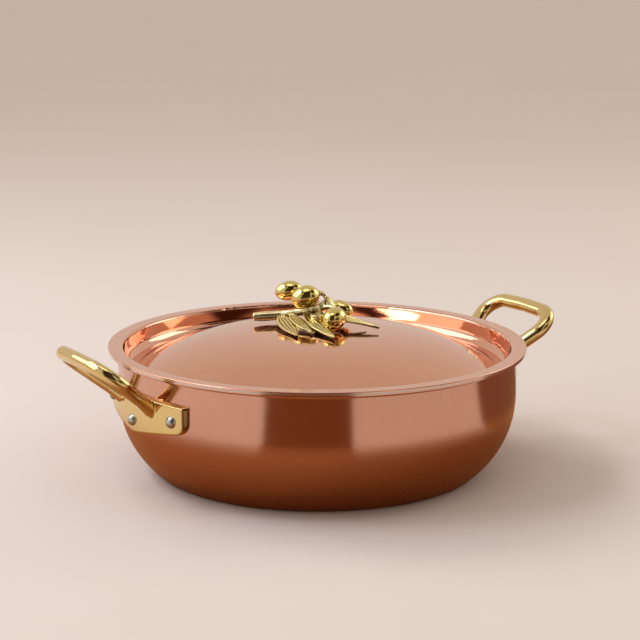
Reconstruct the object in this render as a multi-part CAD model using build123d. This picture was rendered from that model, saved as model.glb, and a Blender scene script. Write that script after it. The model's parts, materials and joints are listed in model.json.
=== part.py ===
from build123d import *
import math
import os

# Saute pan of lined copper with two cast brass handles and a domed lid whose knob is an olive sprig.
# Millimetres, +Z up. The origin is the centre of the flat base's underside, and the handles lie along X.

# Pan: every height is above the face that the pan rests on
mouth_radius = 130.0          # inside of the lined wall
pan_height = 82.6             # resting face to the top of the lined lip
pan_copper = 1.5              # sheet of the body
pan_lining_sheet = 0.3
base_corner = 8.0             # small radius where the base turns up
belly_radius = 64.0           # large radius between that corner and the upright wall
belly_turn = 51.0             # degrees of the belly's arc
lip_bend = 2.5                # outside radius where the wall turns out into the lip
lip_flat = 3.2                # flat width of the lip beyond its bend
lip_edge_round = 0.6

# Lid
lid_copper = 1.0
lid_lining_sheet = 0.3
lid_overhang = 0.7            # how far the lid's flange stands out past the pan's lip
lid_seat_gap = 0.3            # air between the lid's flange and the lip
lid_side_gap = 0.8            # air between the lid's drop and the pan's mouth
lid_bend = 2.0                # radius where the flange turns down
lid_drop = 15.4               # flange to the bottom of the moat
moat_radius = 7.0
dome_edge_slope = 31.6        # degrees at which the dome runs down into the moat
dome_rise = 9.5               # top of the dome above the flange
flange_edge_round = 0.4

# Handles
plate_thickness = 3.8
plate_width = 101.6
plate_below_lip = 16.6        # lip to the plate's straight upper edge
plate_end_height = 17.1       # plate's height at its ends
plate_middle_height = 25.2    # plate's height in the middle
plate_lower_round = 7.0
plate_upper_round = 1.5
plate_keel_round = 26.0       # rounding of the shallow point under the plate
plate_arris_round = 0.8       # rounding of the outer face's edges
loop_tilt = 38.8              # degrees the loop rises from the level
loop_below_lip = 21.2         # lip to the arms' centre line at the plate
loop_reach = 47.0             # plate to the bar's centre line, along the slope
loop_foot_half = 21.5         # half the distance between the arms at the plate
loop_bar_half = 40.5          # half the distance between the arms' lines at the bar
loop_corner = 14.0            # centre line radius of the loop's corners
loop_bow = 1.6                # how far the bar's middle stands out past its ends
loop_bow_radius = 42.0        # rounding of the bar's middle
grip_width = 9.8              # section across the loop's plane
grip_thickness = 8.8
grip_round = 4.1
foot_flare = 1.22             # the arm's section at the plate, as a multiple of the grip's
foot_waist_flare = 1.05       # the same at the foot's waist
foot_waist = 4.2              # plate to the foot's waist, along the arm
foot_length = 8.0             # length over which the arm widens to its foot
foot_root = 2.4               # how far the foot reaches back into the plate

# Rivets
rivet_shank = 4.0
rivet_head = 7.8
rivet_dome = 3.0
rivet_tail_head = 8.0         # flat head inside the pan
rivet_tail_dome = 1.5
rivet_fit = 0.05              # radial clearance of a shank in its hole
rivet_spread = 17.8           # degrees from the handle's middle to the outer rivets
rivet_outer_below_lip = 26.8
rivet_middle_below_lip = 33.7

# Sprig
sprig_turn = -30.8            # degrees about Z that the sprig is turned from the handles' line
sprig_step = 1.0              # length of one step in the sprig's layout
sprig_foot_radius = 4.8
sprig_foot_height = 9.0
twig_radius = 2.6
stalk_radius = 1.4
stalk_seat = 2.5              # how far a stalk's end sits inside its olive
olive_stem_flat = 0.6         # width of the flat ring round a stalk where it meets its olive
olive_fullest = 0.45          # where along an olive it is widest, from its stem end
leaf_thickness = 1.5
leaf_widest = 0.42            # where along a leaf it is widest, from its stem
leaf_stem_width = 3.0
leaf_tip_width = 0.8

# Screw and washer that hold the sprig
screw_shank = 4.0
screw_head = 9.0
screw_head_height = 3.0
screw_slot_width = 1.2
screw_slot_depth = 1.3
screw_depth = 7.0             # how far the screw reaches into the sprig's foot
screw_hole_gap = 0.2          # radial clearance through lid and washer
screw_thread_fit = 0.05
screw_end_gap = 1.0           # empty end of the threaded hole
washer_diameter = 13.0
washer_thickness = 1.0

# Sizes that follow from the values above
pan_wall = pan_copper + pan_lining_sheet
lid_wall = lid_copper + lid_lining_sheet
wall_radius = mouth_radius + pan_wall
belly_height = base_corner + (belly_radius - base_corner) * math.sin(math.radians(belly_turn))
lip_bend_height = pan_height - pan_wall - lip_bend
lip_radius = wall_radius + lip_bend + lip_flat
flange_top = pan_height + lid_seat_gap + lid_wall
flange_radius = lip_radius + lid_overhang
drop_radius = mouth_radius - lid_side_gap - lid_wall
moat_height = flange_top - lid_drop + moat_radius
dome_top = flange_top + dome_rise
plate_radius = wall_radius + plate_thickness
plate_top = pan_height - plate_below_lip
loop_height = pan_height - loop_below_lip
drill_length = wall_radius / 2    # long enough for a drill to pass through what it cuts

os.makedirs("parts", exist_ok=True)


def turned(centre, radius, start, end):
    """Arc about a centre in the section plane, from one angle in degrees to another."""
    angles = (start, (start + end) / 2, end)
    return ThreePointArc(*[
        (centre[0] + radius * math.cos(math.radians(a)), centre[1] + radius * math.sin(math.radians(a)))
        for a in angles
    ])


def pan_line(depth):
    """Half section of the pan's skin at a depth below its outside, from the axis out to the lip's edge."""
    belly_centre = (wall_radius - belly_radius, belly_height)
    corner_shift = belly_radius - base_corner
    corner_centre = (
        belly_centre[0] + corner_shift * math.cos(math.radians(belly_turn)),
        base_corner,
    )
    lip_centre = (wall_radius + lip_bend, lip_bend_height)
    corner = turned(corner_centre, base_corner - depth, -90, -belly_turn)
    belly = turned(belly_centre, belly_radius - depth, -belly_turn, 0)
    bend = turned(lip_centre, lip_bend + depth, 180, 90)
    return [
        Line((0, depth), corner @ 0),
        corner,
        belly,
        Line(belly @ 1, bend @ 0),
        bend,
        Line(bend @ 1, (lip_radius, (bend @ 1).Y)),
    ]


def lid_line(depth):
    """Half section of the lid's skin at a depth below its upper face, from the axis out to the rim."""
    moat_centre = (drop_radius - moat_radius, moat_height)
    moat = turned(moat_centre, moat_radius + depth, -90 - dome_edge_slope, 0)
    edge = moat @ 0
    crown = dome_top - depth
    shoulder = edge.X - (crown - edge.Y) / math.tan(math.radians(dome_edge_slope))
    dome = Bezier((0, crown), (shoulder / 2, crown), (shoulder, crown), (edge.X, edge.Y))
    bend_centre = (drop_radius + lid_bend, flange_top - lid_bend)
    bend = turned(bend_centre, lid_bend - depth, 180, 90)
    return [
        dome,
        moat,
        Line(moat @ 1, bend @ 0),
        bend,
        Line(bend @ 1, (flange_radius, (bend @ 1).Y)),
    ]


def skin(line, outer_depth, inner_depth):
    """Sheet of revolution between two depths of a skin, open at the axis' ends and closed at the rim."""
    outer = line(outer_depth)
    inner = line(inner_depth)
    rim = Line(outer[-1] @ 1, inner[-1] @ 1)
    axis = Line(inner[0] @ 0, outer[0] @ 0)
    section = make_face(Curve() + outer + inner + rim + axis)
    return revolve(Plane.XZ * section, axis=Axis.Z)


def filled_pan():
    """The pan's whole outer shape as one block, used to shape what seats against its outside."""
    outer = pan_line(0)
    rim = outer[-1] @ 1
    closing = Polyline((rim.X, rim.Y), (rim.X, pan_height), (0, pan_height), (0, 0))
    return revolve(Plane.XZ * make_face(Curve() + outer + closing), axis=Axis.Z)


def rounded_rim(sheet, radius, height, size):
    """Round the outer edge of a sheet at a given radius and height."""
    edges = [
        e for e in sheet.edges().filter_by(GeomType.CIRCLE)
        if abs(e.radius - radius) < size / 10 and abs(e.center().Z - height) < size / 10
    ]
    return fillet(edges, size)


def wall_inset(height):
    """How far the wall has drawn in at a height: nothing on the upright wall, more and more on the belly."""
    below = max(belly_height - height, 0)
    return belly_radius - math.sqrt(belly_radius ** 2 - below ** 2)


def rivet_places():
    """Angle from the handle's middle and height of each rivet of one handle."""
    outer = pan_height - rivet_outer_below_lip
    middle = pan_height - rivet_middle_below_lip
    return [(-rivet_spread, outer), (0.0, middle), (rivet_spread, outer)]


def rivet_frame(angle, height):
    """Plane whose origin is on the plate's outer face and whose Z points out of the pan."""
    out = Vector(math.cos(math.radians(angle)), math.sin(math.radians(angle)), 0)
    return Plane(origin=out * plate_radius + Vector(0, 0, height), x_dir=(0, 0, 1), z_dir=out)


def rivet_holes():
    """Drills for both handles' rivets."""
    drills = []
    for side in (0, 180):
        for angle, height in rivet_places():
            drill = Cylinder(rivet_shank / 2 + rivet_fit, drill_length)
            drills.append(rivet_frame(angle + side, height) * drill)
    return drills


def pan_shell():
    sheet = skin(pan_line, 0, pan_copper)
    sheet = rounded_rim(sheet, lip_radius, lip_bend_height + lip_bend, lip_edge_round)
    return sheet - rivet_holes()


def pan_lining():
    return skin(pan_line, pan_copper, pan_wall) - rivet_holes()


def lid_blank(outer_depth, inner_depth):
    return skin(lid_line, outer_depth, inner_depth)


def screw_hole():
    return Pos(0, 0, dome_top) * Cylinder(screw_shank / 2 + screw_hole_gap, drill_length)


def lid_shell():
    sheet = rounded_rim(lid_blank(0, lid_copper), flange_radius, flange_top, flange_edge_round)
    return sheet - screw_hole()


def lid_lining():
    return lid_blank(lid_copper, lid_wall) - screw_hole()


def plate_outline():
    """Outline of the handle's plate, seen from outside: straight on top, a shallow point below."""
    half = plate_width / 2
    end = plate_top - plate_end_height
    middle = plate_top - plate_middle_height
    face = make_face(Polyline(
        (-half, plate_top), (half, plate_top), (half, end), (0, middle), (-half, end), close=True
    ))
    upper = [v for v in face.vertices() if v.Y > plate_top - plate_end_height / 2]
    face = fillet(upper, plate_upper_round)
    ends = [v for v in face.vertices() if abs(v.Y - end) < plate_upper_round and abs(v.X) > half / 2]
    face = fillet(ends, plate_lower_round)
    keel = [v for v in face.vertices() if abs(v.X) < plate_upper_round]
    return fillet(keel, plate_keel_round)


def handle_plate():
    """Plate that follows the wall: its outline pushed through a ring of the plate's radius."""
    outline_plane = Plane(origin=(wall_radius / 2, 0, 0), x_dir=(0, 1, 0), z_dir=(1, 0, 0))
    prism = extrude(outline_plane * plate_outline(), wall_radius)
    ring = Pos(0, 0, pan_height / 2) * Cylinder(plate_radius, pan_height)
    plate = prism & ring
    outer_face = plate.faces().sort_by(Axis.X)[-1]
    return fillet(outer_face.edges(), plate_arris_round)


def grip_section(scale=1.0):
    return RectangleRounded(grip_thickness * scale, grip_width * scale, grip_round * scale)


def loop_plane():
    """Slanted plane of the loop: X runs along the wall, Y runs out and up."""
    tilt = math.radians(loop_tilt)
    origin = (plate_radius - plate_thickness / 2, 0, loop_height)
    return Plane(origin=origin, x_dir=(0, 1, 0), z_dir=(math.sin(tilt), 0, -math.cos(tilt)))


def loop_points(side):
    """Foot, corner of the bar and direction from one to the other, for the arm on one side."""
    foot = Vector(side * loop_foot_half, 0)
    corner = Vector(side * loop_bar_half, loop_reach)
    return foot, corner, (corner - foot).normalized()


def handle_loop():
    """D-shaped grip: two splayed arms, round corners and a bar that bows outwards."""
    foot, corner, _ = loop_points(1)
    arm_foot = foot + (corner - foot) * (foot_length / (corner - foot).length)
    other_foot = Vector(-arm_foot.X, arm_foot.Y)
    other_corner = Vector(-corner.X, corner.Y)
    bar_middle = Vector(0, loop_reach + loop_bow)
    path = FilletPolyline(
        arm_foot, corner, bar_middle, other_corner, other_foot,
        radius=[loop_corner, loop_bow_radius, loop_corner],
    )
    placed = loop_plane() * path
    start = Plane(origin=placed @ 0, x_dir=loop_plane().z_dir, z_dir=placed % 0)
    return sweep(start * grip_section(), path=placed)


def arm_foot(side):
    """Lower end of one arm, which widens smoothly from the grip's section into the plate."""
    foot, _, along = loop_points(side)
    plane = loop_plane()
    stations = [(-foot_root, foot_flare), (foot_waist, foot_waist_flare), (foot_length, 1.0)]
    sections = []
    for distance, scale in stations:
        origin = plane.from_local_coords(foot + along * distance)
        direction = plane.from_local_coords(foot + along) - plane.from_local_coords(foot)
        sections.append(Plane(origin=origin, x_dir=plane.z_dir, z_dir=direction) * grip_section(scale))
    return loft(sections)


def handle(turn):
    """Whole casting: plate, arms and loop in one, seated on the wall, drilled for its rivets."""
    casting = handle_plate() + handle_loop() + arm_foot(1) + arm_foot(-1)
    casting = Rot(0, 0, turn) * casting
    return casting - filled_pan() - rivet_holes()


def dome_head(diameter, height):
    """Spherical cap with its flat side on the plane's XY and its top along Z."""
    ball_radius = (diameter ** 2 / 4 + height ** 2) / (2 * height)
    ball = Pos(0, 0, height - ball_radius) * Sphere(ball_radius)
    keep = Pos(0, 0, height / 2) * Cylinder(diameter / 2, height)
    return ball & keep


def rivet(angle, height, casting, wall):
    """One rivet: shank, domed head outside, flatter head inside, both seated on what they hold."""
    grip_length = plate_thickness + pan_wall + wall_inset(height)
    plane = rivet_frame(angle, height)
    seat = rivet_head ** 2 / (8 * plate_radius)
    outer_head = Pos(0, 0, -seat) * dome_head(rivet_head, rivet_dome + seat)
    shank = Pos(0, 0, -grip_length / 2) * Cylinder(rivet_shank / 2, grip_length + rivet_tail_dome)
    inner_head = Pos(0, 0, -grip_length) * (Rot(180, 0, 0) * dome_head(rivet_tail_head, rivet_tail_dome))
    return plane * shank + (plane * outer_head - casting) + (plane * inner_head - wall)


def rivets(turn, casting, wall):
    return Compound(children=[rivet(a + turn, h, casting, wall).solid() for a, h in rivet_places()])


def sprig_place(x, y, z):
    """Point of the sprig in the part's frame: x and y in the sprig's own turn, z above the dome's top."""
    turn = math.radians(sprig_turn)
    across, away, up = (steps * sprig_step for steps in (x, y, z))
    return Vector(
        across * math.cos(turn) - away * math.sin(turn),
        across * math.sin(turn) + away * math.cos(turn),
        up + dome_top,
    )


def rod(points, radius):
    """Round rod through points in the sprig's own coordinates, closed by balls at its ends."""
    line = Spline(*[sprig_place(*p) for p in points])
    start = Plane(origin=line @ 0, z_dir=line % 0)
    body = sweep(start * Circle(radius), path=line)
    return body + Pos(line @ 0) * Sphere(radius) + Pos(line @ 1) * Sphere(radius)


def aimed(start, end, roll):
    """Place at a point whose X points at another point, rolled about that direction."""
    along = (end - start).normalized()
    level = Vector(0, 0, 1).cross(along).normalized()
    plane = Plane(origin=start, x_dir=along, z_dir=along.cross(level))
    return plane.location * Rot(roll, 0, 0)


def olive_body(stem_end, tip, width):
    """Olive between two points, a little fuller at its stem end."""
    start = sprig_place(*stem_end)
    end = sprig_place(*tip)
    length = (end - start).length
    half = width * sprig_step / 2
    flat = stalk_radius + olive_stem_flat
    outline = Spline(
        (0, flat), (length * olive_fullest, half), (length, 0), tangents=[(0, 1), (0, -1)],
        tangent_scalars=[0.9, 0.8],
    )
    section = make_face(Curve() + [outline, Polyline((length, 0), (0, 0), (0, flat))])
    return aimed(start, end, 0) * revolve(section, axis=Axis.X)


def leaf_body(stem, tip, width, sag, roll):
    """Pointed leaf between two points, bent along its length and rolled about it."""
    start = sprig_place(*stem)
    end = sprig_place(*tip)
    length = (end - start).length
    width, sag = width * sprig_step, sag * sprig_step
    half_stem = leaf_stem_width / 2
    half_tip = leaf_tip_width / 2
    widest = length * leaf_widest
    upper = Spline((0, half_stem), (widest, width / 2), (length, half_tip))
    lower = Spline((0, -half_stem), (widest, -width / 2), (length, -half_tip))
    outline = make_face(Curve() + [
        upper, lower, Line((0, -half_stem), (0, half_stem)), Line((length, -half_tip), (length, half_tip)),
    ])
    blade = Pos(0, 0, -width) * extrude(outline, width * 2)
    half_thickness = leaf_thickness / 2
    top = ThreePointArc((0, half_thickness), (length / 2, sag + half_thickness), (length, half_thickness))
    under = ThreePointArc((0, -half_thickness), (length / 2, sag - half_thickness), (length, -half_thickness))
    side = make_face(Curve() + [top, under, Line(top @ 0, under @ 0), Line(top @ 1, under @ 1)])
    bend = Pos(0, width, 0) * extrude(Plane.XZ * side, width * 2)
    return aimed(start, end, roll) * (blade & bend)


# Sprig's layout in its own coordinates: x to the right and y away as the sprig is seen, z above the dome
twig_line = [(-43, 17, 3.6), (-27, 18, 4.4), (-12, 15, 7.5), (0, 12, 10), (6, 17, 13.5)]
foot_line = [(0, 12, 10), (1.5, 6, 8), (0.5, 0, 5)]
# Each olive: its stem end, its tip and its width
olives = {
    "olive_top_back": ((-10.3, 37.5, 19.2), (-29.3, 35.5, 16.0), 13.6),
    "olive_top_front": ((1.0, 20.0, 19.6), (-17.7, 15.0, 14.2), 15.8),
    "olive_low_front": ((15.6, -2.5, 9.4), (6.2, -20.0, 7.8), 14.6),
    "olive_low_back": ((8.0, 19.0, 10.3), (23.6, 11.0, 7.8), 12.8),
}
stalk_starts = {
    "olive_top_back": [(5.0, 20.0, 12.5), (3.0, 31.0, 17.0)],
    "olive_top_front": [(4.0, 16.5, 12.0), (5.5, 20.0, 17.0)],
    "olive_low_front": [(4.0, 13.0, 11.0), (10.5, 6.5, 12.0)],
    "olive_low_back": [(3.0, 14.5, 11.0), (3.5, 20.0, 11.5)],
}
# Each leaf: its stem, its tip, its width, how far its middle stands off the line between them, and its roll
leaves = {
    "leaf_front_broad": ((-25, 18, 5.4), (-13.3, -30, 1.8), 13.0, -0.8, 0),
    "leaf_front_short": ((-18, 15.5, 6.8), (-3.6, -23, 2.0), 10.5, -0.6, -6),
    "leaf_front_long": ((-8, 12.0, 8.4), (11, -36, 1.8), 13.0, -0.9, 0),
    "leaf_right_upper": ((3.0, 9.5, 8.5), (33, 0.0, 2.8), 8.0, 1.5, 0),
    "leaf_right_lower": ((2.0, 5.0, 6.5), (41, -9.0, 2.2), 9.0, 1.5, 0),
    "leaf_top": ((5.4, 19.2, 17.4), (12.2, 4.0, 12.6), 4.6, 1.2, 0),
}


def stalk_line(name):
    """Points of an olive's stalk, from the twig to a seat a little inside the olive's stem end."""
    stem_end, tip = (Vector(*p) for p in olives[name][:2])
    seat = stem_end + (tip - stem_end).normalized() * (stalk_seat / sprig_step)
    return stalk_starts[name] + [tuple(seat)]


def sprig_foot():
    """Round foot that stands on the flat middle of the dome and takes the screw."""
    return Pos(0, 0, dome_top + sprig_foot_height / 2) * Cylinder(sprig_foot_radius, sprig_foot_height)


def sprig_twig():
    """Twig, the stalks of the olives and the threaded foot, cast in one."""
    casting = rod(twig_line, twig_radius) + sprig_foot()
    casting = casting + rod(foot_line, twig_radius)
    for name in olives:
        casting = casting + rod(stalk_line(name), stalk_radius)
    depth = screw_depth + screw_end_gap
    bore = Pos(0, 0, dome_top + depth / 2) * Cylinder(screw_shank / 2 + screw_thread_fit, depth)
    return casting - bore


def sprig_screw():
    """Slotted screw from under the lid: head below the washer, shank up into the foot."""
    under_lid = dome_top - lid_wall - washer_thickness
    top = dome_top + screw_depth
    shank = Pos(0, 0, (under_lid + top) / 2) * Cylinder(screw_shank / 2, top - under_lid)
    head = Pos(0, 0, under_lid - screw_head_height / 2) * Cylinder(screw_head / 2, screw_head_height)
    slot = Pos(0, 0, under_lid - screw_head_height + screw_slot_depth / 2) * Box(
        screw_head, screw_slot_width, screw_slot_depth
    )
    return shank + head - slot


def sprig_washer():
    height = dome_top - lid_wall - washer_thickness / 2
    disc = Pos(0, 0, height) * Cylinder(washer_diameter / 2, washer_thickness)
    return disc - lid_blank(lid_copper, lid_wall) - screw_hole()


def write(name, shape):
    shape.label = name
    export_step(shape, f"parts/{name}.step")
    print(name, round(shape.volume, 1))


write("pan_shell", pan_shell())
write("pan_lining", pan_lining())
pan_wall_sheet = skin(pan_line, 0, pan_wall)
for side, turn in (("right", 0), ("left", 180)):
    casting = handle(turn)
    write(f"{side}_handle", casting)
    write(f"{side}_rivets", rivets(turn, casting, pan_wall_sheet))
write("lid_shell", lid_shell())
write("lid_lining", lid_lining())
twig = sprig_twig()
write("sprig_twig", twig)
taken = [twig, sprig_foot()]
for name, (stem_end, tip, width) in olives.items():
    body = olive_body(stem_end, tip, width)
    for other in taken:
        body = body - other
    taken.append(body)
    write(name, body)
for name, (stem, tip, width, sag, roll) in leaves.items():
    body = leaf_body(stem, tip, width, sag, roll)
    for other in taken:
        body = body - other
    taken.append(body)
    write(name, body)
write("sprig_screw", sprig_screw())
write("sprig_washer", sprig_washer())
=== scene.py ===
# %% [markdown]
# # A copper saute pan with a domed lid
#
# This lesson dresses a finished construction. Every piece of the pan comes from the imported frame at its
# real size, in metres, with the middle of the flat base at the origin and the handles along X.
# The frame decides sizes and places, and the lesson adds what a workshop adds last: the cast forms, the
# polish and the light.

# %% Load the frame
import json
import math

import bmesh
import bpy
from mathutils import Matrix, Vector


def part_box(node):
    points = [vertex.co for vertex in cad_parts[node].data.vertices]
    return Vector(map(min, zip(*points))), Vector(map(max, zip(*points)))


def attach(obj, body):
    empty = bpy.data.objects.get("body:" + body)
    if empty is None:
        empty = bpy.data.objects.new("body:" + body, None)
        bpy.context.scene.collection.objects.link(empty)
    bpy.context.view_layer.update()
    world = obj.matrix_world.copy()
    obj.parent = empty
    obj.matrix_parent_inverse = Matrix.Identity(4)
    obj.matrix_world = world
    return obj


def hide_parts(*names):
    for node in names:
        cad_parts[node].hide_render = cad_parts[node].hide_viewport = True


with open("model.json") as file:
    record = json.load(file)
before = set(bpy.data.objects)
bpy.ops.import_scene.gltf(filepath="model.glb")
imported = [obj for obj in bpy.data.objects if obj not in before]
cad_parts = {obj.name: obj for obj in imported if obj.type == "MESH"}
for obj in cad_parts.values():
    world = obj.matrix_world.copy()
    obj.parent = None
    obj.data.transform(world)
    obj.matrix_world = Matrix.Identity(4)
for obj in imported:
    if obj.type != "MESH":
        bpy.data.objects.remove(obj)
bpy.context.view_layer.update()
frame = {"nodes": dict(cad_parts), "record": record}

nodes = frame["nodes"]
print("pieces in the frame:", len(nodes))

# %% [markdown]
# ## The camera
#
# The photograph was taken from about 1.2 m away with a long lens, 27 cm above the rim, and 31 degrees
# round from the line that is square to the handles. The distance, height and turn were found by fitting
# the rim's ellipse and both handles, so they are written here as real sizes.

# %% Place the camera
MM = 0.001
rim_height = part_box("pan_lining")[1].z

camera_turn = math.radians(-30.795)     # round from the line square to the handles
camera_distance = 1200 * MM             # level distance to the pan's axis
camera_height = 352.9 * MM              # above the floor
camera_pitch = 0.2086                   # radians that it looks down
camera_yaw = -0.0014                    # radians that it looks past the axis
camera_roll = 0.0042                    # radians that it leans
sensor_width = 36.0                     # millimetres, as is the lens
lens_length = 104.25


def around(turn, level_distance, height):
    """Point round the pan: its turn from the camera in degrees, its level distance and its height."""
    angle = camera_turn + math.radians(turn)
    return Vector((math.sin(angle) * level_distance, -math.cos(angle) * level_distance, height))


camera = bpy.data.objects.new("camera", bpy.data.cameras.new("camera"))
bpy.context.scene.collection.objects.link(camera)
camera.data.sensor_width = sensor_width
camera.data.lens = lens_length
camera.data.clip_start = 10 * MM
camera.matrix_world = (
    Matrix.Translation(around(0, camera_distance, camera_height))
    @ Matrix.Rotation(camera_turn + camera_yaw, 4, "Z")
    @ Matrix.Rotation(math.pi / 2 - camera_pitch, 4, "X")
    @ Matrix.Rotation(camera_roll, 4, "Z")
)
bpy.context.scene.camera = camera
print("camera at", [round(v, 3) for v in camera.location])

# %% [markdown]
# ## Shader maths as plain expressions
#
# A finish is arithmetic on a few patterns. Wrapping a socket in a small class lets that arithmetic be
# written the way it is said, such as `1 - scratches * 0.3`, while each step still becomes a real Math
# node that an export can bake.


# %% A socket that can be reckoned with
class Amount:
    """A number that changes over a surface. Sums and products of it add Math nodes."""

    def __init__(self, finish, socket):
        self.finish = finish
        self.socket = socket

    def math(self, operation, *others, clamp=False):
        node = self.finish.tree.nodes.new("ShaderNodeMath")
        node.operation = operation
        node.use_clamp = clamp
        for place, value in enumerate([self, *others]):
            self.finish.feed(node.inputs[place], value)
        return Amount(self.finish, node.outputs[0])

    def __add__(self, other):
        return self.math("ADD", other)

    __radd__ = __add__

    def __mul__(self, other):
        return self.math("MULTIPLY", other)

    __rmul__ = __mul__

    def __sub__(self, other):
        return self.math("SUBTRACT", other)

    def __rsub__(self, other):
        return (self * -1).math("ADD", other)

    def __pow__(self, other):
        return self.math("POWER", other)

    def kept(self):
        """The same amount held between 0 and 1."""
        return self.math("ADD", 0.0, clamp=True)

    def rise(self, low, high):
        """0 below low, 1 above high, and a soft slope between them. Swapped limits make it fall."""
        return self.finish.add(
            "ShaderNodeMapRange",
            {"interpolation_type": "SMOOTHSTEP"},
            {"Value": self, "From Min": low, "From Max": high},
        )


# %% A finish that builds its own nodes
class Finish:
    """A material or world under construction."""

    def __init__(self, name, owner=None):
        self.owner = owner or bpy.data.materials.new(name)
        self.owner.use_nodes = True
        self.tree = self.owner.node_tree
        self.tree.nodes.clear()

    def feed(self, socket, value):
        """Link a socket to what feeds it, or set its plain value."""
        if isinstance(value, Amount):
            value = value.socket
        if isinstance(value, bpy.types.NodeSocket):
            self.tree.links.new(value, socket)
        elif hasattr(value, "__len__") and len(value) == 3 and socket.type == "RGBA":
            socket.default_value = (*value, 1.0)
        else:
            socket.default_value = value

    def add(self, kind, settings=None, inputs=None, out=0):
        """One node: its settings first, then the values or links of its sockets."""
        node = self.tree.nodes.new(kind)
        for name, value in (settings or {}).items():
            setattr(node, name, value)
        for name, value in (inputs or {}).items():
            self.feed(node.inputs[name], value)
        return Amount(self, node.outputs[out]) if len(node.outputs) else None

    def spot(self):
        """The point in the object's own space. A finished piece has the pan's frame, in metres."""
        return self.add("ShaderNodeTexCoord", out="Object")

    def parts(self, vector):
        """The three numbers of a vector."""
        node = self.tree.nodes.new("ShaderNodeSeparateXYZ")
        self.feed(node.inputs[0], vector)
        return [Amount(self, s) for s in node.outputs]

    def joined(self, x, y, z):
        return self.add("ShaderNodeCombineXYZ", inputs={0: x, 1: y, 2: z})

    def noise(self, vector, per_metre, detail=2.0, roughness=0.5):
        return self.add(
            "ShaderNodeTexNoise",
            inputs={"Vector": vector, "Scale": per_metre, "Detail": detail, "Roughness": roughness},
        )

    def blend(self, share, first, second):
        """Colour between two colours, by a share from 0 to 1."""
        return self.add(
            "ShaderNodeMix", {"data_type": "RGBA"}, {0: share, 6: first, 7: second}, out=2
        )

    def shape(self, height, depth):
        """Normal that follows a height pattern of a real depth in metres."""
        return self.add("ShaderNodeBump", inputs={"Height": height, "Distance": depth})

    def done(self, **inputs):
        """Finish with a Principled shader; names are its sockets with underscores for spaces."""
        sockets = {name.replace("_", " "): value for name, value in inputs.items()}
        shader = self.add("ShaderNodeBsdfPrincipled", inputs=sockets)
        self.add("ShaderNodeOutputMaterial", inputs={"Surface": shader})
        return self.owner


def colour_of(red, green, blue):
    """Screen colour from 0 to 255 as the linear colour that shaders use."""
    return tuple(
        c / 12.92 if c <= 0.04045 else ((c + 0.055) / 1.055) ** 2.4
        for c in (v / 255 for v in (red, green, blue))
    )


def polar(finish):
    """Distance from the pan's axis and height of the point, in metres."""
    x, y, z = finish.parts(finish.spot())
    return (x * x + y * y) ** 0.5, z


# %% [markdown]
# ## The floor and the room
#
# Polished metal is mostly a picture of what stands round it, so the stage is part of the finish. A pale
# warm floor fills the view and shows in the lower walls, and a pale room stands behind the pan, which the
# flat lid mirrors. One disc and a plain world are enough, because neither has a corner that the metal
# could show.

# %% Lay the floor
floor_radius = 14.0
round_sides = 64                        # of the floor's disc and of the sprig's foot
bpy.ops.object.select_all(action="DESELECT")
bpy.ops.mesh.primitive_circle_add(vertices=round_sides, radius=floor_radius, fill_type="NGON")
floor = bpy.context.active_object
floor.name = "floor"
floor_finish = Finish("pale_floor")
floor_tone = floor_finish.noise(floor_finish.spot(), 2.0, 3.0)
floor_colour = colour_of(206, 190, 179)
floor.data.materials.append(floor_finish.done(
    Base_Color=floor_finish.blend(floor_tone, colour_of(204, 188, 176), colour_of(209, 194, 183)),
    Roughness=0.85,
    Specular_IOR_Level=0.2,
))
print("floor:", floor_radius, "m in radius")

# %% Paint the room
room_low = (0.71, 0.65, 0.60)
room_high = (0.63, 0.59, 0.55)
world = bpy.data.worlds.new("room")
bpy.context.scene.world = world
room = Finish("room", world)
outward = room.add("ShaderNodeNewGeometry", out="Position")
up = room.parts(room.add("ShaderNodeVectorMath", {"operation": "NORMALIZE"}, {0: outward}))[2]
room_colour = room.blend(up.rise(0.3, 1.0), room_low, room_high)
background = room.add("ShaderNodeBackground", inputs={"Color": room_colour, "Strength": 1.0})
room.add("ShaderNodeOutputWorld", inputs={"Surface": background})
print("room:", room_low, "at the floor's level and", room_high, "overhead")

# %% [markdown]
# ## The lamps
#
# A lamp does two jobs on metal: it lights the floor and it is seen as a highlight. The long pale streak in
# the lid's moat and the bright ends of the grips are mirrored lamps, so each lamp is a large soft
# rectangle whose size and place follow from where its highlight lies. A wide sun adds the shadow to the
# right of the pan. It is there for the shadow alone, so the metal doesn't mirror it.


# %% Hang the lamps
def aim_at_pan(lamp):
    """Turn a lamp so that it faces the middle of the pan's mouth."""
    aim = Vector((0, 0, rim_height)) - lamp.location
    lamp.rotation_euler = aim.to_track_quat("-Z", "Y").to_euler()


def soft_lamp(name, place, width, height, radiance, tint=(1, 1, 1)):
    """Large rectangular lamp with a given brightness, where 1 is a white card in this light."""
    lamp = bpy.data.objects.new(name, bpy.data.lights.new(name, "AREA"))
    bpy.context.scene.collection.objects.link(lamp)
    lamp.data.shape = "RECTANGLE"
    lamp.data.size = width
    lamp.data.size_y = height
    lamp.data.energy = radiance * math.pi * width * height
    lamp.data.color = tint
    lamp.location = place
    lamp.visible_camera = False
    aim_at_pan(lamp)


daylight = (0.85, 1.0, 1.22)            # a little bluer than the white of the other lamps
# Each lamp: its place by turn, distance and height, then its width, its height and its brightness
soft_lamp("left_lamp", around(-95, 1.13, 0.95), 1.6, 1.05, 1.7, daylight)
soft_lamp("left_core", around(-84, 0.79, 1.25), 0.55, 0.26, 9.0, daylight)
soft_lamp("right_lamp", around(118, 1.6, 0.75), 0.9, 0.8, 1.9)
soft_lamp("top_lamp", around(-20, 0.35, 1.9), 1.1, 0.8, 1.1)

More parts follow.
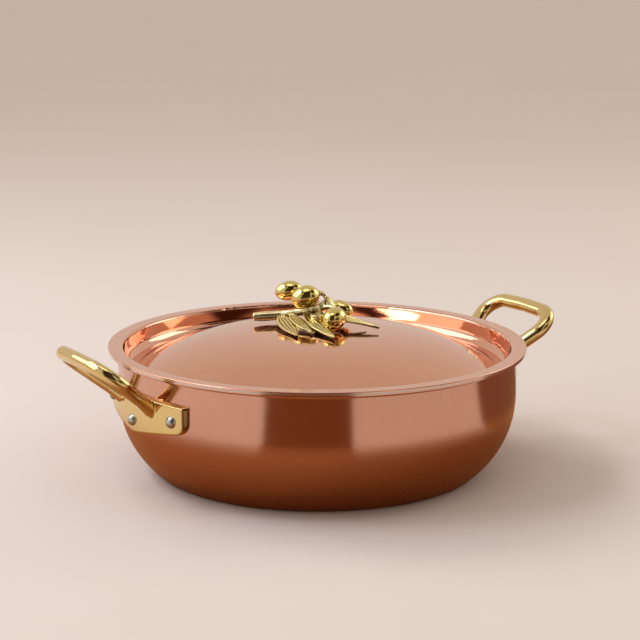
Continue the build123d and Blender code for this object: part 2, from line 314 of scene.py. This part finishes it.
sun = bpy.data.objects.new("sun", bpy.data.lights.new("sun", "SUN"))
bpy.context.scene.collection.objects.link(sun)
sun.data.energy = 1.0
sun.data.angle = math.radians(26)
sun.visible_glossy = False              # it draws the shadow, and the lamps draw the highlights
sun.location = around(-128, 1.5, 1.35)
aim_at_pan(sun)
print("lamps:", [light.name for light in bpy.data.lights])

# %% [markdown]
# ## The dark cards
#
# A mirror in a pale room would look like paper. Dark cards give the metal its dark bands, as they do in a
# studio. Some stand or hang round the pan, and they have soft edges so that the dome shows no hard shape.
# Others lie on the floor by it: two strips that flare outwards and a round one under the foot, which show
# in the wall and in the belly. The round one and the strips' near ends are painted shade: they stand for
# the shaded floor next to the pan's foot. Only reflections show a card, so the floor stays pale in the
# picture.

# %% Finish a card
foot_shade_tone = (0.35, 0.16, 0.065)         # painted shade of the floor next to the pan, as the belly mirrors it


def mirrored_only(card, finish, colour, cover=1.0):
    """Give a card its colour, and let it show in mirrors alone: it lights nothing and shades nothing."""
    card.visible_camera = False
    card.visible_shadow = False
    card.visible_diffuse = False
    card.data.materials.append(
        finish.done(Base_Color=colour, Roughness=0.9, Specular_IOR_Level=0.0, Alpha=cover)
    )


def card_at(name, turn, distance, height, lean, size, flare=1.0):
    """Card by the pan, leaned back from lying flat, whose outer side is wider by its flare."""
    bpy.ops.object.select_all(action="DESELECT")
    bpy.ops.mesh.primitive_plane_add(size=1)
    card = bpy.context.active_object
    card.name = name
    for corner in card.data.vertices:
        if corner.co.y < 0:
            corner.co.x *= flare
    card.scale = (*size, 1)
    card.location = around(turn, distance, height)
    card.rotation_euler = (math.radians(lean), 0, camera_turn + math.radians(turn))
    return card


# %% Hang the soft cards
# Shares of a card's side, from its middle: where the card ends, and where it starts to fade
card_side, card_core = 0.5, 0.3
# Each card: its turn and distance, its height, its lean, its size and its tone
soft_cards = {
    "card_behind_camera": (4, 1.6, 0.95, 90, (2.3, 2.1), (0.045, 0.03, 0.02)),
    "card_above_camera": (12, 0.9, 1.40, 36, (1.6, 0.9), (0.05, 0.03, 0.02)),
    "card_high_right": (80, 0.96, 1.15, 40, (1.0, 0.9), (0.06, 0.03, 0.02)),
    "card_high_left": (-58, 0.70, 1.36, 28, (0.66, 0.46), (0.06, 0.03, 0.02)),
    "card_right": (60, 1.6, 0.45, 90, (1.3, 1.0), (0.07, 0.045, 0.03)),
}
for name, (turn, distance, height, lean, size, tone) in soft_cards.items():
    card = card_at(name, turn, distance, height, lean, size)
    finish = Finish(name)
    across, along = (number.math("ABSOLUTE") for number in finish.parts(finish.spot())[:2])
    cover = across.rise(card_side, card_core) * along.rise(card_side, card_core)
    mirrored_only(card, finish, tone, cover)
print("cards in the air:", list(soft_cards))

# %% Lay the cards on the floor
card_lift = 2 * MM
card_fade = 0.12                        # share of a card over which its near edge fades
# Each card: its turn and distance, its size, its flare and its tone
floor_cards = {
    "card_low_front": (-4, 0.65, (0.11, 0.96), 8.0, (0.16, 0.055, 0.016)),
    "card_low_right": (112, 0.62, (0.20, 0.88), 4.5, (0.20, 0.085, 0.045)),
}
for name, (turn, distance, size, flare, tone) in floor_cards.items():
    card = card_at(name, turn, distance, card_lift, 0, size, flare)
    finish = Finish(name)
    # Near the pan each strip fades into the painted shade of the floor by the foot.
    near_edge = finish.parts(finish.spot())[1].rise(card_side - card_fade, card_side)
    mirrored_only(card, finish, finish.blend(near_edge, tone, foot_shade_tone))

# The round card is painted shade: in mirrors it darkens the floor next to the foot.
mat_inner, mat_outer = 0.17, 0.275      # where the round card starts to fade into the floor, and its edge
mat_lift = 1 * MM
mat_sides = 96
bpy.ops.object.select_all(action="DESELECT")
bpy.ops.mesh.primitive_circle_add(
    vertices=mat_sides, radius=mat_outer, fill_type="NGON", location=(0, 0, mat_lift)
)
mat = bpy.context.active_object
mat.name = "card_round_the_foot"
mat_finish = Finish("card_round_the_foot")
mat_edge = polar(mat_finish)[0].rise(mat_inner, mat_outer)
mirrored_only(mat, mat_finish, mat_finish.blend(mat_edge, foot_shade_tone, floor_colour))
print("cards on the floor:", [*floor_cards, mat.name])

# %% [markdown]
# ## Copper of the pan's wall
#
# The metals differ in colour, but what makes each one real is how its polish varies. The pan was spun on
# a lathe and wiped by hand, so its wall has fine rings, upright streaks and a cloudy bloom. Lower down the
# polish is less glossy, with small dark pits, and the copper is painted darker and browner: painted shade
# for the shaded floor that the belly mirrors. The lip is rubbed bright. The rings are noise that knows
# only height and distance from the axis, so they run right round, and the streaks are noise that is
# stretched along the height.


# %% Copper of the pan's wall
lip_bend = (79 * MM, 82 * MM)           # heights between which the wall turns out into its lip
worn_and_shaded_foot = (72 * MM, 14 * MM)             # heights between which the polish wears dull and the foot is painted with shade


def wall_copper():
    finish = Finish("wall_copper")
    spot = finish.spot()
    radius, z = polar(finish)
    rings = finish.noise(finish.joined(radius * 0.3, 0.0, z), 2600.0, 3.0, 0.6)
    cloud = finish.noise(spot, 16.0, 3.0, 0.55)
    pits = finish.noise(spot, 900.0, 3.0, 0.6)
    x, y, _ = finish.parts(spot)
    streaks = finish.noise(finish.joined(x, y, z * 0.25), 260.0, 3.0, 0.6)
    lower = (z + cloud * (16 * MM)).rise(*worn_and_shaded_foot)
    edge = z.rise(*lip_bend)
    dull = (pits.rise(0.52, 0.68) * lower * 0.85 + cloud.rise(0.5, 0.8) * lower * 0.35).kept()
    colour = finish.blend(cloud, (0.63, 0.335, 0.235), (0.70, 0.39, 0.28))
    colour = finish.blend(streaks.rise(0.45, 0.75) * 0.18, colour, (0.58, 0.27, 0.17))
    # Painted shade: towards the foot the copper is painted darker and browner, for the shaded floor it
    # mirrors.
    colour = finish.blend(lower * 0.6, colour, (0.60, 0.27, 0.14))
    colour = finish.blend(dull * 0.7, colour, (0.34, 0.13, 0.065))
    height = rings * 0.3 + cloud * 0.2 + pits * lower * 0.8 + streaks * 0.1
    return finish.done(
        Base_Color=finish.blend(edge * 0.4, colour, (0.80, 0.50, 0.38)),
        Metallic=1.0,
        Roughness=0.08 + cloud * 0.07 + streaks * 0.05 + dull * 0.16 + lower * 0.07,
        Normal=finish.shape(height, 0.05 * MM),
    )


# %% [markdown]
# ## Copper of the lid
#
# The lid is the brightest copper. Its dome has a fine grain that blurs what it mirrors a little, the moat
# round it is as clear as a mirror, and the flange is satin where hands and cloths have rubbed it. The same
# noises as on the wall make it, steered by the distance from the axis alone.


# %% Copper of the lid
dome_end = (112 * MM, 104 * MM)         # distances from the axis between which the dome's grain sets in
flange_start = (128 * MM, 131 * MM)     # and between which the flange turns satin


def lid_copper():
    finish = Finish("lid_copper")
    spot = finish.spot()
    radius, z = polar(finish)
    grain = finish.noise(spot, 620.0, 3.0, 0.6)
    cloud = finish.noise(spot, 18.0, 2.0, 0.5)
    rings = finish.noise(finish.joined(radius, 0.0, z * 0.3), 2200.0, 3.0, 0.6)
    dome = radius.rise(*dome_end)
    colour = finish.blend(cloud, (0.79, 0.405, 0.262), (0.84, 0.445, 0.295))
    return finish.done(
        Base_Color=finish.blend(grain.rise(0.35, 0.65) * dome * 0.35, colour, (0.74, 0.365, 0.235)),
        Metallic=1.0,
        Roughness=0.06 + dome * (0.005 + cloud * 0.03) + radius.rise(*flange_start) * 0.10,
        Normal=finish.shape(grain * dome * 1.6 + rings * 0.3, 0.02 * MM),
    )


# %% [markdown]
# ## The pale lining
#
# Copper that touches food is lined with a pale metal. It shows as two thin lines at the rim, and as the
# whole inside once the lid is lifted. It is wiped on and then turned, so it gets the lathe's rings and a
# soft, cloudy gloss.


# %% The pale lining
def tin_lining():
    finish = Finish("tin_lining")
    radius, z = polar(finish)
    rings = finish.noise(finish.joined(radius, 0.0, z), 1800.0, 3.0, 0.6)
    cloud = finish.noise(finish.spot(), 30.0, 3.0, 0.5)
    return finish.done(
        Base_Color=finish.blend(cloud, (0.68, 0.67, 0.65), (0.76, 0.75, 0.73)),
        Metallic=1.0,
        Roughness=0.22 + cloud * 0.12,
        Normal=finish.shape(rings, 0.02 * MM),
    )


# %% [markdown]
# ## Polished brass
#
# The handles and the olives are cast in brass and polished to a mirror, so fine hairs from the polishing
# wheel are nearly all that is left to see. The ends of the handles' plates are less glossy and painted
# dark: a painted reflection of the dark that they face. They are found by their distance along Y, which
# only the plates' ends reach.


# %% Brass of the handles and the olives
plate_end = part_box("left_handle")[1].y
end_shade_band = (1.2 * MM, 0.4 * MM)       # distances from the end between which the painted dark reflection sets in


def cast_brass(name, low, high, gloss, end=1.0):
    """Polished cast brass. Near an end, a distance along Y in metres, it is less glossy and painted dark:
    a painted reflection of the dark that the plates' ends face.
    """
    finish = Finish(name)
    spot = finish.spot()
    cloud = finish.noise(spot, 60.0, 3.0, 0.55)
    x, y, z = finish.parts(spot)
    hairs = finish.noise(finish.joined(x, y, z * 7.0), 900.0, 2.0)
    # Painted reflection: near the plates' ends the brass is painted dark.
    painted_end_shade = y.math("ABSOLUTE").rise(end - end_shade_band[0], end - end_shade_band[1])
    return finish.done(
        Base_Color=finish.blend(painted_end_shade * 0.8, finish.blend(cloud, low, high), (0.20, 0.09, 0.03)),
        Metallic=1.0,
        Roughness=gloss + cloud * 0.05 + hairs * 0.04 + painted_end_shade * 0.08,
        Normal=finish.shape(hairs, 0.01 * MM),
    )


# %% [markdown]
# ## Brass of the sprig
#
# Leaves and twig are brass as well, but too finely shaped for the polishing wheel. The valleys between the
# raised veins are darker, and the undersides and the crowded middle are painted with shade. Three masks
# find
# these places: the leaf's own map, the direction that the surface faces, and the distance to the knot
# where the branches meet.

# %% Where the sprig is painted with shade
knot = Vector((6.1, 10.3, 103.7)) * MM  # where the sprig's branches meet
crowded = (14 * MM, 5 * MM)             # distances from the knot between which the painted shade sets in


def crowded_shade(finish):
    """Painted shade where the sprig is crowded, broken up by noise, from 0 to 1."""
    places = {0: finish.spot(), 1: knot}
    gap = finish.add("ShaderNodeVectorMath", {"operation": "DISTANCE"}, places, out=1)
    cloud = finish.noise(finish.spot(), 260.0, 2.0, 0.5)
    return gap.rise(*crowded) * cloud.rise(0.3, 0.6)


def downward_shade(finish):
    """Share of painted shade: 1 where a surface faces down, 0 where it faces sideways or up."""
    facing = finish.parts(finish.add("ShaderNodeNewGeometry", out="Normal"))
    return facing[2].rise(-0.1, -0.6)


# %% Brass of the leaves and the twig
vein_count = 2.5                        # waves of the veins from a leaf's middle to its edge


def leaf_brass(name, low, high, dark):
    """Satin brass, darker in its valleys, with painted shade on its undersides and in the crowded middle.
    It follows the leaf's own map.
    """
    finish = Finish(name)
    spot = finish.spot()
    along, across, _ = finish.parts(finish.add("ShaderNodeTexCoord", out="UV"))
    share = (across - 0.5).math("ABSOLUTE") * 2
    valley = 0.5 - (share * vein_count * 2 * math.pi).math("COSINE") * 0.5
    cloud = finish.noise(spot, 400.0, 3.0, 0.6)
    valleys_and_shade = valley.rise(0.45, 1.0) * share.rise(1.0, 0.75) * (0.5 + cloud) * 0.9
    # Painted shade on the undersides and in the crowded middle is added to the darker valleys.
    valleys_and_shade = valleys_and_shade + downward_shade(finish) * 0.85 + crowded_shade(finish) * 0.7
    colour = finish.blend(cloud, low, high)
    ripples = finish.noise(finish.joined(along * 0.1, across, 0.0), 60.0, 2.0)
    return finish.done(
        Base_Color=finish.blend(valleys_and_shade.kept(), colour, dark),
        Metallic=1.0,
        Roughness=0.15 + cloud * 0.08 + valleys_and_shade * 0.15,
        Normal=finish.shape(ripples, 0.02 * MM),
    )


def twig_brass(name, low, high, dark):
    """Pale satin brass, as cast and brushed, with painted shade in its crevices and on its undersides."""
    finish = Finish(name)
    grain = finish.noise(finish.spot(), 900.0, 3.0, 0.6)
    shade = (crowded_shade(finish) * 0.8 + downward_shade(finish) * 0.7).kept()
    return finish.done(
        Base_Color=finish.blend(shade, finish.blend(grain, low, high), dark),
        Metallic=1.0,
        Roughness=0.2 + grain * 0.12,
        Normal=finish.shape(grain, 0.02 * MM),
    )


# %% [markdown]
# ## Steel, and which piece gets which finish
#
# Rivets, screw and washer are plain steel, a little cloudy from handling. A finish is made once and shared
# by all the pieces in the same metal. The frame's record says which metal a piece is made of, so only a
# piece that differs from others in its metal, as the two coppers do, is picked by its own name.


# %% Steel of the rivets and the screw
def plain_steel(name):
    finish = Finish(name)
    cloud = finish.noise(finish.spot(), 700.0, 3.0, 0.6)
    return finish.done(
        Base_Color=finish.blend(cloud, (0.42, 0.41, 0.38), (0.56, 0.55, 0.51)),
        Metallic=1.0,
        Roughness=0.2 + cloud * 0.16,
        Normal=finish.shape(cloud, 0.03 * MM),
    )


# %% Hand out the finishes
finishes = {
    "pan_shell": wall_copper(),
    "lid_shell": lid_copper(),
    "tin": tin_lining(),
    "brass": cast_brass("handle_brass", (0.74, 0.54, 0.215), (0.81, 0.61, 0.27), 0.05, plate_end),
    "sprig_brass": cast_brass("sprig_brass", (0.74, 0.56, 0.17), (0.82, 0.65, 0.24), 0.045),
    "sprig_twig": twig_brass("twig_brass", (0.86, 0.70, 0.34), (0.95, 0.82, 0.46), (0.16, 0.085, 0.02)),
    "leaf": leaf_brass("leaf_brass", (0.82, 0.65, 0.25), (0.92, 0.77, 0.36), (0.14, 0.07, 0.015)),
    "rivet_steel": plain_steel("rivet_steel"),
    "screw_steel": plain_steel("screw_steel"),
}
slots = {row["node"]: row["material_slot"] for row in frame["record"]["subparts"]}
for name, node in nodes.items():
    finish = finishes.get(name) or finishes[slots[name]]
    node.data.materials.clear()
    node.data.materials.append(finish)
print("finishes:", sorted(finishes))


# %% [markdown]
# ## Working by hand in code
#
# Every new piece is made with the same operators that a hand uses: add a simple form, pick vertices by
# their place, move or resize them, and apply a modifier. Four small helpers keep that short. The last
# one hands a finished piece over: it takes its node's place, its body and its metal.


# %% Helpers for modelling
def select_only(piece):
    bpy.ops.object.select_all(action="DESELECT")
    piece.select_set(True)
    bpy.context.view_layer.objects.active = piece


def pick(piece, test):
    """In edit mode, select only the vertices whose place passes a test."""
    work = bmesh.from_edit_mesh(piece.data)
    for part in (work.faces, work.edges):
        for item in part:
            item.select = False
    for vertex in work.verts:
        vertex.select = test(vertex.co)
    bmesh.update_edit_mesh(piece.data)


def apply_modifier(piece, kind, **settings):
    select_only(piece)
    modifier = piece.modifiers.new(kind.lower(), kind)
    for name, value in settings.items():
        setattr(modifier, name, value)
    bpy.ops.object.modifier_apply(modifier=modifier.name)


def stand_for(piece, node, body, metal):
    """Finished piece: smooth, in its metal, in its node's place, riding on its body."""
    select_only(piece)
    bpy.ops.object.transform_apply(location=True, rotation=True, scale=True)
    bpy.ops.object.shade_smooth()
    piece.data.materials.clear()
    piece.data.materials.append(finishes[metal])
    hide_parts(node)
    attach(piece, body)
    print(piece.name, len(piece.data.polygons), "faces")


# %% [markdown]
# ## The two handles
#
# Each handle is one brass casting. Its plate, arms and loop flow into each other with small fillets, and
# its edges are rounded by the polishing wheel. The construction has the plain forms, so a copy of its
# mesh is recast in fine even squares and relaxed. That softens each edge and fills each corner as casting
# and polishing do, and it leaves the broad shapes where they are.

# %% Recast the handles
recast_size = 0.4 * MM
relax_rounds = 6
merge_distance = 0.001 * MM


def copy_of(node, name):
    """Copy of a node's mesh, with its loose triangles merged."""
    piece = bpy.data.objects.new(name, nodes[node].data.copy())
    bpy.context.scene.collection.objects.link(piece)
    select_only(piece)
    bpy.ops.object.mode_set(mode="EDIT")
    bpy.ops.mesh.select_all(action="SELECT")
    bpy.ops.mesh.remove_doubles(threshold=merge_distance)
    bpy.ops.object.mode_set(mode="OBJECT")
    return piece


def recast(piece, size, rounds):
    """Rebuild a piece in even squares and relax it, so that its edges and corners soften."""
    apply_modifier(piece, "REMESH", mode="VOXEL", voxel_size=size)
    apply_modifier(piece, "SMOOTH", factor=0.5, iterations=rounds)


for node in ("left_handle", "right_handle"):
    handle = copy_of(node, node + "_casting")
    recast(handle, recast_size, relax_rounds)
    stand_for(handle, node, "pan", "brass")

# %% [markdown]
# ## The olive sprig
#
# The knob is a sprig of brass: a twig, four olives and six leaves. Its layout is written in steps of a
# millimetre, as the construction has it: x to the right and y away as the sprig is seen, and z above the
# dome. One function turns such a point into the frame, and another lays a piece between two points.

# %% Where the sprig's pieces lie
sprig_turn = math.radians(-30.8)        # of the layout, about the pan's axis
dome_top = max(v.co.z for v in nodes["lid_shell"].data.vertices)
# Each olive: its stem end, its tip and its width
olives = {
    "olive_top_back": ((-10.3, 37.5, 19.2), (-29.3, 35.5, 16.0), 13.6),
    "olive_top_front": ((1.0, 20.0, 19.6), (-17.7, 15.0, 14.2), 15.8),
    "olive_low_front": ((15.6, -2.5, 9.4), (6.2, -20.0, 7.8), 14.6),
    "olive_low_back": ((8.0, 19.0, 10.3), (23.6, 11.0, 7.8), 12.8),
}
# Each leaf: its stem, its tip, its width, how far its middle stands off their line, and its roll
leaves = {
    "leaf_front_broad": ((-25, 18, 5.4), (-13.3, -30, 1.8), 13.0, -0.8, 0),
    "leaf_front_short": ((-18, 15.5, 6.8), (-3.6, -23, 2.0), 10.5, -0.6, -6),
    "leaf_front_long": ((-8, 12.0, 8.4), (11, -36, 1.8), 13.0, -0.9, 0),
    "leaf_right_upper": ((3.0, 9.5, 8.5), (33, 0.0, 2.8), 8.0, 1.5, 0),
    "leaf_right_lower": ((2.0, 5.0, 6.5), (41, -9.0, 2.2), 9.0, 1.5, 0),
    "leaf_top": ((5.4, 19.2, 17.4), (12.2, 4.0, 12.6), 4.6, 1.2, 0),
}


def sprig_place(point):
    """Point of the sprig's layout in the pan's frame, in metres."""
    on_the_dome = Matrix.Translation((0, 0, dome_top)) @ Matrix.Rotation(sprig_turn, 4, "Z")
    return on_the_dome @ (Vector(point) * MM)


def laid(start, end, roll=0.0):
    """Place at a start whose X points at an end, rolled about that direction, and their distance."""
    start, end = sprig_place(start), sprig_place(end)
    along = (end - start).normalized()
    level = Vector((0, 0, 1)).cross(along).normalized()
    turn = Matrix((along, level, along.cross(level))).transposed().to_4x4()
    place = Matrix.Translation(start) @ turn @ Matrix.Rotation(math.radians(roll), 4, "X")
    return place, (end - start).length


print("sprig stands at", round(dome_top / MM, 1), "mm")


# %% [markdown]
# ## The olives
#
# An olive is a ball drawn out along its length. It is fullest a little nearer its stem, where it also has
# a shallow dimple, and its far end has a small point. Pulling vertices with a soft falloff makes all
# three, and one recipe serves four olives of four sizes.

# %% Make the olives
# Shares of an olive's half length: how far each feature is pulled, and how far the pull reaches
fullness, fullness_reach = 0.10, 0.95
dimple_depth, dimple_reach = 0.10, 0.42
nib_length, nib_reach = 0.07, 0.16
waist, pole = 0.05, 0.999         # a pulled vertex lies within the waist or beyond a pole
olive_sides, olive_rings = 64, 40


def olive(name):
    stem, tip, width = olives[name]
    place, length = laid(stem, tip)
    bpy.ops.object.select_all(action="DESELECT")
    bpy.ops.mesh.primitive_uv_sphere_add(
        segments=olive_sides, ring_count=olive_rings, radius=1, rotation=(0, math.pi / 2, 0)
    )
    piece = bpy.context.active_object
    piece.name = name + "_casting"
    bpy.ops.object.transform_apply(location=False, rotation=True, scale=False)
    bpy.ops.object.mode_set(mode="EDIT")
    soft = {"use_proportional_edit": True, "proportional_edit_falloff": "SMOOTH"}
    pick(piece, lambda v: abs(v.x) < waist)
    bpy.ops.transform.translate(value=(-fullness, 0, 0), proportional_size=fullness_reach, **soft)
    pick(piece, lambda v: v.x < -pole)
    bpy.ops.transform.translate(value=(dimple_depth, 0, 0), proportional_size=dimple_reach, **soft)
    pick(piece, lambda v: v.x > pole)
    bpy.ops.transform.translate(value=(nib_length, 0, 0), proportional_size=nib_reach, **soft)
    bpy.ops.object.mode_set(mode="OBJECT")
    half_length, half_width = length / (2 + nib_length), width * MM / 2
    stretch = Matrix.Diagonal((half_length, half_width, half_width, 1))
    piece.matrix_world = place @ Matrix.Translation((half_length, 0, 0)) @ stretch
    stand_for(piece, name, "lid", "sprig_brass")


for name in olives:
    olive(name)

# %% [markdown]
# ## The leaves
#
# A leaf is long and pointed, with a middle rib and two veins on each side of it that run its whole
# length. One flat grid becomes a leaf: its columns are lifted in waves, each row is resized to the outline
# and moved to the bend, and the sheet is thickened and smoothed. Every leaf is that one form at its own
# length, width and place.

# %% Make the leaves
leaf_thickness = 1.4 * MM
leaf_widest = 0.42                # where along a leaf it is widest
stem_width, tip_width = 0.26, 0.05    # of a leaf's ends, as shares of its widest
rib_height = 0.75 * MM
columns, rows = 20, 28


def leaf_width(along):
    """Width of a leaf at a share of its length, as a share of its widest."""
    if along < leaf_widest:
        return stem_width + (1 - stem_width) * math.sin(along / leaf_widest * math.pi / 2)
    past = (along - leaf_widest) / (1 - leaf_widest)
    return tip_width + (1 - tip_width) * math.cos(past * math.pi / 2)


def leaf(name):
    stem, tip, width, sag, roll = leaves[name]
    place, length = laid(stem, tip, roll)
    bpy.ops.object.select_all(action="DESELECT")
    bpy.ops.mesh.primitive_grid_add(x_subdivisions=rows, y_subdivisions=columns, size=1)
    piece = bpy.context.active_object
    piece.name = name + "_casting"
    bpy.ops.object.mode_set(mode="EDIT")
    bpy.ops.mesh.select_all(action="SELECT")
    bpy.ops.transform.resize(value=(length, width * MM, 1))
    bpy.ops.transform.translate(value=(length / 2, 0, 0))
    row_step, column_step = length / rows, width * MM / columns
    for column in range(columns + 1):
        offset = column - columns / 2
        share = abs(offset) / (columns / 2)
        lift = rib_height * (math.cos(share * vein_count * 2 * math.pi) * 0.5 + 0.5) * (1 - share ** 3)
        pick(piece, lambda v: abs(v.y - offset * column_step) < column_step / 3)
        bpy.ops.transform.translate(value=(0, 0, lift))
    for row in range(rows + 1):
        share = row / rows
        narrowed = leaf_width(share)
        pick(piece, lambda v: abs(v.x - row * row_step) < row_step / 3)
        bpy.ops.transform.resize(value=(1, narrowed, narrowed ** 0.5), center_override=(0, 0, 0))
        bpy.ops.transform.translate(value=(0, 0, 4 * sag * MM * share * (1 - share)))
    bpy.ops.object.mode_set(mode="OBJECT")
    piece.matrix_world = place
    apply_modifier(piece, "SOLIDIFY", thickness=leaf_thickness, offset=-1.0)
    apply_modifier(piece, "SUBSURF", levels=1, render_levels=1)
    stand_for(piece, name, "lid", "leaf")


for name in leaves:
    leaf(name)

# %% [markdown]
# ## The twig
#
# The twig is one casting too, so it has no joints: its stalks grow out of it and swell into the olives'
# caps, knuckles stand where leaves leave it, and its cut end is a little thicker. Each branch is a chain
# of points with a thickness at each one, which the Skin modifier covers. Recasting joins the branches.

# %% Grow the twig
skin_shrink = 1.22                # a skin comes out thinner than its radius by this factor
# Each branch: points of the layout, each with the branch's radius there
branches = {
    "stem": [
        (-43.5, 17, 3.6, 2.5), (-42.6, 17, 3.65, 3.1), (-40, 17.1, 3.7, 2.75), (-34, 17.5, 4.0, 2.45),
        (-30, 17.8, 4.2, 2.7), (-27.5, 18, 4.4, 3.0), (-24, 17.6, 4.9, 2.5), (-19.5, 16.5, 5.8, 2.75),
        (-14, 15.4, 7.0, 2.3), (-8, 14.2, 8.4, 2.6), (0, 12, 10, 2.6), (4, 14, 11.8, 2.4),
        (6, 17, 13.5, 2.1),
    ],
    "root": [(0, 12, 10, 2.6), (1.5, 7, 8.5, 2.6), (1, 2, 6.5, 2.8)],
    "olive_top_back": [(5.0, 20.0, 12.5, 1.9), (4.6, 27, 15.4, 1.3), (2.0, 32.5, 17.4, 1.2)],
    "olive_top_front": [(4.0, 16.5, 12.0, 1.9), (6.0, 18.6, 15.0, 1.4), (5.2, 20.4, 17.6, 1.3)],
    "olive_low_front": [(4.0, 13.0, 11.0, 1.9), (8.0, 10.5, 12.2, 1.4), (13.0, 5.0, 11.8, 1.2)],
    "olive_low_back": [(3.0, 14.5, 11.0, 1.9), (3.2, 17.8, 11.4, 1.4), (5.0, 19.4, 11.0, 1.3)],
}
# The collar that holds an olive: places as shares of the olive's length, each with the collar's radius
collar = [(-0.04, 1.4), (0.02, 2.5), (0.12, 1.6)]


def chain(points):
    """In edit mode, run a chain of vertices through points of the sprig's layout."""
    places = [sprig_place(point[:3]) for point in points]
    bpy.ops.mesh.select_all(action="DESELECT")
    bpy.ops.mesh.primitive_plane_add(size=MM)
    bpy.ops.mesh.merge(type="CENTER")
    bpy.ops.transform.translate(value=places[0])
    for before, after in zip(places, places[1:]):
        bpy.ops.mesh.extrude_vertices_move(TRANSFORM_OT_translate={"value": after - before})


for name, (stem, tip, _) in olives.items():
    start, end = Vector(stem), Vector(tip)
    branches[name] += [(*start.lerp(end, share), radius) for share, radius in collar]

bpy.ops.object.select_all(action="DESELECT")
bpy.ops.mesh.primitive_plane_add(size=MM)
twig = bpy.context.active_object
twig.name = "sprig_twig_casting"
bpy.ops.object.mode_set(mode="EDIT")
bpy.ops.mesh.delete(type="VERT")
for points in branches.values():
    chain(points)
bpy.ops.object.mode_set(mode="OBJECT")
skin = twig.modifiers.new("skin", "SKIN")
covers = iter(twig.data.skin_vertices[0].data)
for points in branches.values():
    for order, (*_, radius) in enumerate(points):
        cover = next(covers)
        cover.radius = (radius * skin_shrink * MM, radius * skin_shrink * MM)
        cover.use_root = order == 0
select_only(twig)
bpy.ops.object.modifier_apply(modifier=skin.name)
apply_modifier(twig, "SUBSURF", levels=2, render_levels=2)
print("twig skinned:", len(twig.data.polygons), "faces")

# %% Set the twig on its foot
# The foot and its bore are as the construction has them
foot_radius, foot_height = 4.8 * MM, 9.0 * MM
bore_radius, bore_depth = 2.05 * MM, 8.0 * MM
twig_recast_size = 0.3 * MM
twig_relax_rounds = 5
bpy.ops.object.select_all(action="DESELECT")
bpy.ops.mesh.primitive_cylinder_add(
    vertices=round_sides, radius=foot_radius, depth=foot_height,
    location=(0, 0, dome_top + foot_height / 2),
)
foot = bpy.context.active_object
bpy.ops.object.mode_set(mode="EDIT")
pick(foot, lambda v: v.z < 0)
bpy.ops.mesh.select_mode(type="FACE")
bpy.ops.mesh.inset(thickness=foot_radius - bore_radius)
bpy.ops.mesh.extrude_region_move(TRANSFORM_OT_translate={"value": (0, 0, bore_depth)})
bpy.ops.mesh.select_mode(type="VERT")
bpy.ops.object.mode_set(mode="OBJECT")
foot.select_set(True)
twig.select_set(True)
bpy.context.view_layer.objects.active = twig
bpy.ops.object.join()
recast(twig, twig_recast_size, twig_relax_rounds)
stand_for(twig, "sprig_twig", "lid", "sprig_twig")
low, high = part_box("sprig_twig")
print("twig in the frame", [round(v / MM, 1) for v in (*low, *high)])
places = [v.co for v in twig.data.vertices]
print("twig as grown", [round(f(p[i] for p in places) / MM, 1) for f in (min, max) for i in range(3)])

# %% [markdown]
# ## Colours as written
#
# The twig's two boxes are printed where it is grown, the construction's first, then the one that is seen.
# Last, the colours are shown as they are written. The dressed pan has to stay inside the frame's own box.

# %% Show colours as written
bpy.context.scene.view_settings.view_transform = "Standard"
